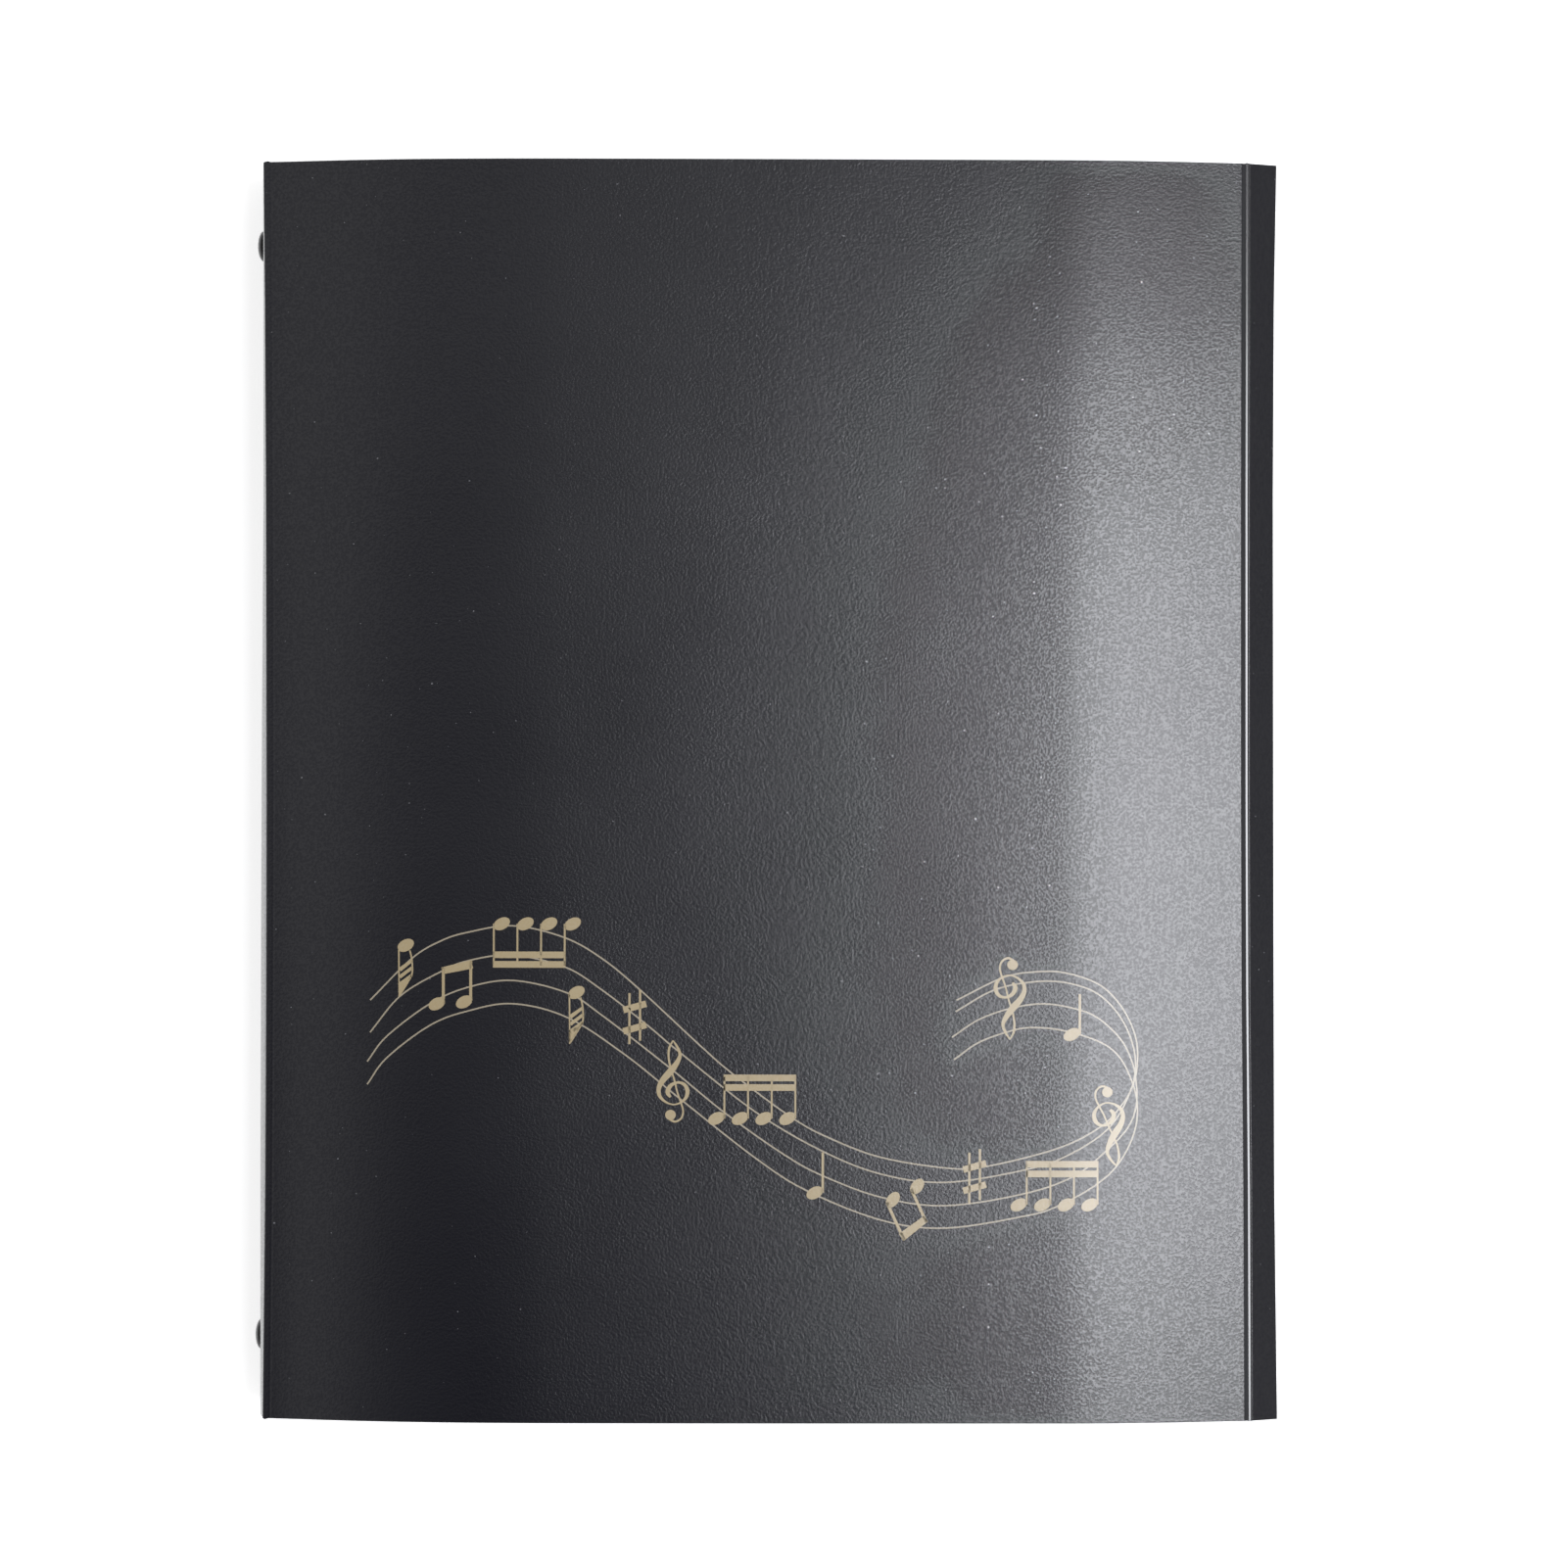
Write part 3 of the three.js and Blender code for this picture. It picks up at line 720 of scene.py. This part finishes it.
RING_INNER_RADIUS = 10 * MM
LEG_HEIGHT = 4.9 * MM
LEG_BEND = 4 * MM
TIP_POINT = 1.2 * MM
TIP_GAP = 0.2 * MM
ROUND_SHARP = 40
ring_radius = RING_INNER_RADIUS + WIRE / 2
leg_turn = math.acos((LEG_OFFSET + LEG_BEND) / (ring_radius + LEG_BEND))
ring_height = LEG_HEIGHT + (ring_radius + LEG_BEND) * math.sin(leg_turn)


def half_ring_path(side, foot):
    """Points in v and u, from the foot up the leg, round the bend and a little past the ring's middle."""
    leg = [(LEG_OFFSET, u) for u in np.linspace(foot, LEG_HEIGHT, 5)[:-1]]
    bend = [(LEG_OFFSET + LEG_BEND * (1 - math.cos(a)), LEG_HEIGHT + LEG_BEND * math.sin(a))
            for a in np.linspace(0, leg_turn, 10)[:-1]]
    past_middle = 1.5 * TIP_POINT / ring_radius
    arc = [(ring_radius * math.cos(a), ring_height + ring_radius * math.sin(a))
           for a in np.linspace(-leg_turn, math.pi / 2 + past_middle, 56)]
    return [(side * v, u) for v, u in leg + bend + arc]


def wire_piece(name, path, y, radius, segments=28):
    """Round wire along a path in v and u."""
    path = np.array(path)
    way = np.gradient(path, axis=0)
    way /= np.linalg.norm(way, axis=1)[:, None]
    normal = np.stack([-way[:, 1], way[:, 0]], axis=1)
    points = []
    for place, aside in zip(path, normal):
        for angle in np.linspace(0, 2 * np.pi, segments, endpoint=False):
            v, u = place + aside * radius * math.cos(angle)
            points.append((seat_x + u, y + radius * math.sin(angle), spine_middle + v))
    return mesh_piece(name, points, tube_faces(len(path), segments), NICKEL_FINISH, ROUND_SHARP)


def chevron(side, y):
    """Prism that cuts a wire's end to a point, or to the notch that takes it."""
    wide = 2 * WIRE
    slope = 2 * TIP_POINT / WIRE
    peak = side * TIP_GAP / 2 - TIP_POINT / 2
    flank = peak + wide * slope
    beyond = -side * (wide * slope + WIRE)
    outline = [(0, peak), (wide, flank), (wide, beyond), (-wide, beyond), (-wide, flank)]
    top = seat_x + ring_height + ring_radius
    points = [(top + d * WIRE, y + a, spine_middle + v) for d in (-1, 1) for a, v in outline]
    return mesh_piece("chevron", points, tube_faces(2, len(outline)))


for ring_side, ring_name in ((-1, "back"), (1, "front")):
    for number, ring_y in enumerate(ring_places, 1):
        node = f"{ring_name}_ring_{number}"
        ring_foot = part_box(node)[0].x - seat_x
        ring = wire_piece(node + "_wire", half_ring_path(ring_side, ring_foot), ring_y, WIRE / 2)
        carve(ring, chevron(ring_side, ring_y))
        ring.data.set_sharp_from_angle(angle=math.radians(ROUND_SHARP))
        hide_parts(node)
        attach(ring, ring_name + "_ring_set")


# Rivets
# Tubular steel rivets with a low dome, lacquered black, pushed through from outside the spine
# and turned over on the ring plate.

LACQUER = (0.008, 0.008, 0.009)
LACQUER_SHEEN = 0.25
LACQUER_ROUGHNESS = 0.2
WEAR_SIZE = 1.6 * MM
WEAR_DULLING = 0.15
PEEL_SIZE = 0.5 * MM
PEEL_HEIGHT = 0.004 * MM
RIVET_HEAD = 7.6 * MM
RIVET_HEAD_HEIGHT = 1.6 * MM
# Angle at the crown's first ring of points.
CROWN_START = 0.01
RIVET_RIM = 0.1 * MM
RIM_EASE = 0.06 * MM
RIVET_SHANK = 3.8 * MM
RIVET_FLANGE = 6 * MM
FLANGE_THICKNESS = 0.6 * MM
RIVET_BORE = 2.6 * MM
RIVET_BORE_DEPTH = 4 * MM
BORE_MIDDLE = 0.02 * MM


def black_lacquer():
    finish = Finish("black_lacquer", base_color=LACQUER, specular_ior_level=LACQUER_SHEEN)
    wear = finish.noise(WEAR_SIZE, 3)
    finish.set("Roughness", LACQUER_ROUGHNESS + WEAR_DULLING * wear)
    finish.set("Normal", finish.bump(finish.noise(PEEL_SIZE), PEEL_HEIGHT))
    return finish.material


LACQUER_FINISH = black_lacquer()


def rivet_profile(start, end):
    """Radius and place along X, from the crown of the head over the flange into the bore."""
    head = start + RIVET_HEAD_HEIGHT
    rim = RIVET_HEAD / 2
    dome = RIVET_HEAD_HEIGHT - RIVET_RIM
    profile = []
    for angle in np.linspace(CROWN_START, np.pi / 2, 18):
        profile.append((rim * math.sin(angle), start + dome * (1 - math.cos(angle))))
    profile += [(rim, head - RIM_EASE), (rim - RIM_EASE, head), (RIVET_SHANK / 2, head)]
    flange = end - FLANGE_THICKNESS
    roll = FLANGE_THICKNESS / 2
    profile.append((RIVET_SHANK / 2, flange))
    outer = RIVET_FLANGE / 2 - roll
    for angle in np.linspace(-np.pi / 2, np.pi / 2, 9):
        profile.append((outer + roll * math.cos(angle), flange + roll + roll * math.sin(angle)))
    inner = RIVET_BORE / 2 + roll
    for angle in np.linspace(0, np.pi / 2, 6):
        profile.append((inner - roll * math.sin(angle), end - roll + roll * math.cos(angle)))
    bottom = end - RIVET_BORE_DEPTH
    return profile + [(RIVET_BORE / 2, bottom), (BORE_MIDDLE, bottom)]


def rivet(node, segments=56):
    low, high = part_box(node)
    y = middle_y(node)
    z = (low.z + high.z) / 2
    profile = rivet_profile(low.x, high.x)
    points = []
    for radius, x in profile:
        for angle in np.linspace(0, 2 * np.pi, segments, endpoint=False):
            points.append((x, y + radius * math.cos(angle), z + radius * math.sin(angle)))
    faces = tube_faces(len(profile), segments)
    piece = mesh_piece(node + "_head", points, faces, LACQUER_FINISH, ROUND_SHARP)
    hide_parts(node)
    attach(piece, "spine")


rivet("rivet_top")
rivet("rivet_bottom")


# Print on the front cover
# A flowing stave with notes, sharps and clefs, hot-stamped in pale gold foil. The foil is a skin
# of a few hundredths of a millimetre that follows the cover's bow.

GOLD = (0.315, 0.24, 0.125)
GOLD_WORN = (0.345, 0.285, 0.18)
GOLD_THIN = (0.29, 0.25, 0.185)
GOLD_SHEEN = 0.65
GOLD_ROUGHNESS = 0.22
SPECKLE_SIZE = 0.6 * MM
SPECKLE_DULLING = 0.06
FOIL_OVER = 0.03 * MM
FOIL_UNDER = 0.03 * MM
# Strokes that cross lie in layers this far apart.
FOIL_STEP = 0.004 * MM
SIGN_LAYERS = 4

# The four stave lines from the left to the inner end of the curl, in millimetres.
STAVE = [
    [(-97.8, -51.5), (-87.6, -41.3), (-80.4, -36.9), (-73.6, -34.7), (-62.5, -33.1), (-50.1, -35.9),
     (-40.7, -41.1), (-31.1, -49.0), (-16.6, -62.4), (-8.5, -69.4), (6.2, -80.2), (15.6, -85.2),
     (27.8, -89.7), (43.9, -92.3), (53.5, -91.9), (70.9, -87.5), (81.4, -82.3), (86.7, -77.0),
     (89.6, -72.0), (90.7, -66.2), (90.1, -59.7), (86.7, -52.7), (81.4, -47.4), (73.4, -44.5),
     (66.4, -44.1), (57.8, -45.5), (46.2, -51.1)],
    [(-97.8, -59.4), (-90.3, -50.4), (-80.3, -44.4), (-73.6, -41.7), (-63.0, -40.3), (-50.0, -43.1),
     (-40.7, -48.8), (-29.6, -57.4), (-21.2, -64.4), (-2.9, -78.7), (13.2, -88.1), (27.8, -93.8),
     (43.5, -95.8), (62.7, -92.8), (73.5, -89.2), (83.6, -82.5), (88.9, -73.6), (90.2, -66.0),
     (88.2, -58.4), (84.0, -52.2), (78.7, -48.4), (70.8, -46.5), (62.6, -46.9), (54.7, -48.9),
     (46.0, -53.9)],
    [(-98.5, -66.6), (-93.6, -60.3), (-83.0, -52.3), (-73.6, -48.2), (-62.5, -46.5), (-49.3, -49.5),
     (-40.7, -55.0), (-24.5, -67.5), (-10.6, -78.8), (3.6, -88.8), (13.2, -94.1), (27.9, -99.5),
     (43.5, -101.5), (62.7, -98.6), (75.0, -94.3), (83.1, -88.0), (88.4, -82.3), (90.4, -77.0),
     (90.4, -71.5), (89.4, -66.4), (86.7, -60.9), (81.4, -55.8), (76.1, -53.4), (67.9, -52.0),
     (59.9, -53.0), (51.8, -55.8), (45.1, -60.2)],
    [(-98.5, -72.2), (-93.6, -65.6), (-83.0, -57.6), (-73.6, -54.0), (-62.5, -52.2), (-49.3, -55.5),
     (-35.1, -64.6), (-20.7, -76.1), (-2.9, -90.0), (9.6, -97.9), (27.9, -105.1), (43.5, -107.0),
     (62.7, -104.1), (70.9, -101.7), (80.5, -96.4), (86.3, -90.9), (90.0, -83.3), (90.6, -76.0),
     (88.4, -68.8), (85.3, -64.0), (80.4, -60.9), (72.2, -58.5), (65.3, -57.8), (60.0, -58.5),
     (51.8, -61.4), (45.6, -65.7)],
]
LINE_WIDTH = 0.37


def gold_foil():
    finish = Finish("gold_foil", specular_ior_level=GOLD_SHEEN)
    speckle = finish.noise(SPECKLE_SIZE, 3)
    thin = finish.node("Attribute", {"attribute_name": "thin"}, output="Fac")
    finish.set("Base Color", finish.mix(thin, finish.mix(speckle, GOLD, GOLD_WORN), GOLD_THIN))
    finish.set("Roughness", GOLD_ROUGHNESS + SPECKLE_DULLING * speckle)
    finish.set("Normal", finish.bump(finish.noise(GRAIN_SIZE, 3), GRAIN_HEIGHT))
    return finish.material


def cover_top(x):
    """Height of the cover's upper face."""
    slope = (middle_height(x + MM) - middle_height(x - MM)) / (2 * MM)
    return middle_height(x) + SHEET / 2 * np.sqrt(1 + slope ** 2)


class Foil:
    """Collects flat strokes in millimetres and lays them on the cover as closed skins."""

    def __init__(self):
        self.points = []
        self.faces = []
        self.thin = []
        self.layer = 0
        self.origin = (0, 0)
        self.turn = 0

    def at(self, x, y, degrees=0):
        """Where the next sign goes, and its turn."""
        self.origin = (x, y)
        self.turn = math.radians(degrees)
        self.layer = len(STAVE) + (self.layer + 1) % SIGN_LAYERS

    def placed(self, outline):
        c = math.cos(self.turn)
        s = math.sin(self.turn)
        return [(self.origin[0] + x * c - y * s, self.origin[1] + x * s + y * c) for x, y in outline]

    def skin(self, outline, caps, thin=0):
        """Prism over a closed outline. caps says which points make each face of its top."""
        flat = np.array(self.placed(outline)) * MM
        height = cover_top(flat[:, 0])
        over = height + FOIL_OVER + self.layer * FOIL_STEP
        n = len(flat)
        first = len(self.points)
        self.points += [(x, y, z) for (x, y), z in zip(flat, over)]
        self.points += [(x, y, z) for (x, y), z in zip(flat, height - FOIL_UNDER)]
        self.thin += 2 * n * [thin]
        self.faces += [tuple(first + i for i in cap) for cap in caps]
        self.faces += [tuple(first + n + i for i in reversed(cap)) for cap in caps]
        for i in range(n):
            after = (i + 1) % n
            self.faces.append((first + i, first + n + i, first + n + after, first + after))

    def fill(self, outline):
        self.skin(outline, [tuple(range(len(outline)))])

    def ellipse(self, x, y, long, short, degrees=0):
        turn = math.radians(degrees)
        outline = []
        for angle in np.linspace(0, 2 * np.pi, 36, endpoint=False):
            along = long * np.cos(angle)
            aside = short * np.sin(angle)
            outline.append((x + along * math.cos(turn) - aside * math.sin(turn),
                            y + along * math.sin(turn) + aside * math.cos(turn)))
        self.fill(outline)

    def stroke(self, path, widths, thin=0):
        """Ribbon along a path, as wide as widths says at each point."""
        path = np.array(path, float)
        way = np.gradient(path, axis=0)
        way /= np.linalg.norm(way, axis=1)[:, None]
        half = np.stack([-way[:, 1], way[:, 0]], axis=1) * np.reshape(widths, (-1, 1)) / 2
        n = len(path)
        outline = [tuple(p) for p in path - half] + [tuple(p) for p in (path + half)[::-1]]
        self.skin(outline, [(i, i + 1, 2 * n - 2 - i, 2 * n - 1 - i) for i in range(n - 1)], thin)

    def line(self, start, end, widths):
        """Straight ribbon, as wide as widths says at its two ends."""
        count = 3 + int(math.dist(start, end))
        self.stroke(np.linspace(start, end, count), np.interp(range(count), (0, count - 1), widths))


def flowing(points, step=0.7):
    """Smooth curve through points, each with its width as a third number or none."""
    p = np.array(points, float)
    p = np.vstack([2 * p[0] - p[1], p, 2 * p[-1] - p[-2]])
    made = []
    for a, b, c, d in zip(p, p[1:], p[2:], p[3:]):
        count = max(2, int(np.linalg.norm((c - b)[:2]) / step))
        t = np.linspace(0, 1, count, endpoint=False)[:, None]
        square_part = 2 * a - 5 * b + 4 * c - d
        cube_part = 3 * b - a - 3 * c + d
        made.append(0.5 * (2 * b + (c - a) * t + square_part * t ** 2 + cube_part * t ** 3))
    return np.vstack([*made, p[-2]])


# Sizes of the notes in millimetres. Each sign is drawn about its own middle or its first note head.
HEAD_LONG = 2.16
HEAD_SHORT = 1.42
HEAD_TILT = 28
STEM_WIDTH = 0.45
STEM_ASIDE = 1.95


def note_head(foil, x, y):
    foil.ellipse(x, y, HEAD_LONG, HEAD_SHORT, HEAD_TILT)


def quarter_note(foil):
    note_head(foil, 0, 0)
    foil.line((STEM_ASIDE, 0), (STEM_ASIDE, 9.9), (0.6, 0.6))


def flagged_note(foil):
    note_head(foil, 0, 0)
    foil.line((-1.72, 0), (-1.62, -12.6), (0.42, 0.3))
    foil.stroke(flowing([(1.0, -1.2), (1.5, -3.4), (1.6, -6.8), (0.5, -9.1), (-1.5, -12.3)], 0.4), 0.4)
    foil.line((-1.5, -6.0), (1.45, -3.8), (1.0, 0.7))
    foil.line((-1.5, -7.8), (1.55, -5.5), (0.85, 0.75))
    foil.line((-1.5, -9.8), (1.5, -7.3), (1.2, 0.7))
    foil.fill([(-1.75, -12.2), (-1.75, -9.6), (1.1, -7.6), (0.4, -9.2), (-0.5, -10.8)])


def beamed_pair(foil):
    for x, y in ((0, 0), (6.75, 0.5)):
        note_head(foil, x, y)
        foil.line((x + 1.6, y), (x + 1.6, y + 9.0 + 0.16 * x), (0.72, 0.72))
    foil.line((1.3, 8.1), (8.7, 9.75), (1.7, 2.1))


def beamed_four(foil):
    pitch = 5.8
    for i in range(4):
        note_head(foil, i * pitch - STEM_ASIDE, 0)
        foil.line((i * pitch, 0), (i * pitch, 10.2), (STEM_WIDTH, STEM_WIDTH))
    for beam in (7.6, 9.95):
        foil.line((-0.2, beam), (3 * pitch + 0.2, beam), (1.62, 1.62))


def sharp_sign(foil):
    for x in (-1.3, 1.3):
        foil.line((x, x / 3 - 6.1), (x, x / 3 + 6.4), (0.55, 0.55))
    for y in (-2.6, 2.6):
        foil.line((-2.8, y - 0.8), (2.8, y + 0.8), (1.6, 1.6))


def treble_clef(foil):
    """Two swept strokes, each point with its width, and a ball at the foot."""
    bowl = [(0, 9.8, 0.3), (1.1, 8.1, 0.6), (1.7, 6.2, 0.8), (0.9, 4.25, 1.25), (-0.7, 2.1, 1.7),
            (-2.5, 0.05, 1.45), (-3.45, -1.9, 1.1), (-3.25, -3.8, 0.85), (-1.75, -5.3, 0.5),
            (0.2, -5.9, 0.36), (2.1, -5.3, 0.5), (3.35, -3.9, 0.85), (3.5, -2.3, 1.0), (2.7, -0.95, 0.8),
            (1.1, -0.5, 0.6), (-0.6, -1.3, 0.95), (-1.3, -2.9, 1.1), (-0.6, -4.1, 0.6)]
    stem = [(0, 9.8, 0.3), (-0.95, 7.9, 0.55), (-1.05, 5.4, 0.5), (-0.6, 3.1, 0.45), (0.35, 0.05, 0.42),
            (1.1, -3.0, 0.42), (2.05, -5.7, 0.42), (2.5, -7.6, 0.42), (2.0, -9.3, 0.45), (0.5, -10.1, 0.5),
            (-0.9, -9.4, 0.6)]
    for path in (bowl, stem):
        swept = flowing(path, 0.3)
        foil.stroke(swept[:, :2], swept[:, 2])
        foil.layer += 1
    foil.ellipse(-0.6, -8.45, 1.3, 1.25)


# Each sign with its place on the cover and its turn in degrees.
SIGNS = [
    (flagged_note, -89.0, -38.0, 0), (beamed_pair, -81.3, -52.3, 0), (beamed_four, -49.9, -32.6, 180),
    (flagged_note, -47.0, -49.4, 0), (sharp_sign, -32.7, -55.5, 0), (treble_clef, -23.3, -70.9, 0),
    (beamed_four, -10.7, -80.2, 0), (quarter_note, 11.5, -98.4, 0), (beamed_pair, 36.6, -96.8, 204.6),
    (sharp_sign, 50.7, -94.5, 0), (beamed_four, 63.5, -101.3, 0), (treble_clef, 59.3, -50.9, 180),
    (quarter_note, 74.5, -59.5, 0), (treble_clef, 84.0, -82.1, 189),
]

foil = Foil()
for order, stave_line in enumerate(STAVE):
    foil.layer = order
    foil.stroke(flowing(stave_line), LINE_WIDTH, 1)
for draw, sign_x, sign_y, sign_turn in SIGNS:
    foil.at(sign_x, sign_y, sign_turn)
    draw(foil)

print_piece = mesh_piece("gold_print", foil.points, foil.faces, gold_foil())
point_values(print_piece, "thin", foil.thin)
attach(print_piece, "front_cover")


# Studio
# A white table, one large soft lamp to the right of the camera that puts the sheen on the cover,
# and a pale surround that is darker overhead.

FLOOR_SIZE = 12
FLOOR_BELOW = 0.2 * MM
FLOOR_WHITE = (0.93, 0.93, 0.93)
# Seen directly or mirrored, the table is lifted towards white. It lights nothing any more strongly.
FLOOR_LIFT = (0.6, 0.6, 0.6)
LAMP_HEIGHT = 1.6
LAMP_SPAN_X = (0.195, 1.25)
LAMP_SPAN_Y = (-0.40, 0.25)
LAMP_RADIANCE = 11.4
LAMP_TINT = (0.97, 0.985, 1.03)
# The surround is darkest towards this direction. Brightness by the cosine of the angle from it.
DARK_WAY = (-0.117, -0.341, 1)
SURROUND = [(0, 0.4), (0.5, 0.6), (0.866, 0.75), (0.966, 0.1), (0.985, 0)]
BACKDROP_WHITE = (1.0, 1.0, 1.0)


def floor():
    finish = Finish("white_table", base_color=FLOOR_WHITE, roughness=0.9, emission_strength=1.0)
    seen = finish.node("LightPath", output="Is Camera Ray")
    mirrored = finish.node("LightPath", output="Is Glossy Ray")
    finish.set("Emission Color", finish.mix(seen + mirrored, (0.0, 0.0, 0.0), FLOOR_LIFT))
    reach = FLOOR_SIZE / 2
    points = [(x * reach, y * reach, -FLOOR_BELOW) for x, y in ((-1, -1), (1, -1), (1, 1), (-1, 1))]
    mesh_piece("white_table", points, [(0, 1, 2, 3)], finish.material)


def soft_lamp():
    light = bpy.data.lights.new("soft_lamp", "AREA")
    light.shape = "RECTANGLE"
    light.size = LAMP_SPAN_X[1] - LAMP_SPAN_X[0]
    light.size_y = LAMP_SPAN_Y[1] - LAMP_SPAN_Y[0]
    light.color = LAMP_TINT
    light.energy = LAMP_RADIANCE * math.pi * light.size * light.size_y
    lamp = bpy.data.objects.new("soft_lamp", light)
    lamp.location = (sum(LAMP_SPAN_X) / 2, sum(LAMP_SPAN_Y) / 2, LAMP_HEIGHT)
    bpy.context.scene.collection.objects.link(lamp)


def surround():
    world = bpy.data.worlds.new("surround")
    bpy.context.scene.world = world
    sky = Tree(world)
    way = sky.node("TexCoord", output="Generated")
    dark_way = tuple(Vector(DARK_WAY).normalized())
    nearness = sky.node("VectorMath", {"operation": "DOT_PRODUCT"}, {0: way, 1: dark_way}, "Value")
    stops = [(nearness_at, (brightness,) * 3) for nearness_at, brightness in SURROUND]
    level = sky.node("ValToRGB", {"stops": stops}, {"Fac": nearness})
    seen = sky.node("LightPath", output="Is Camera Ray")
    sky.connect(sky.nodes["Background"].inputs["Color"], sky.mix(seen, level, BACKDROP_WHITE))


floor()
soft_lamp()
surround()
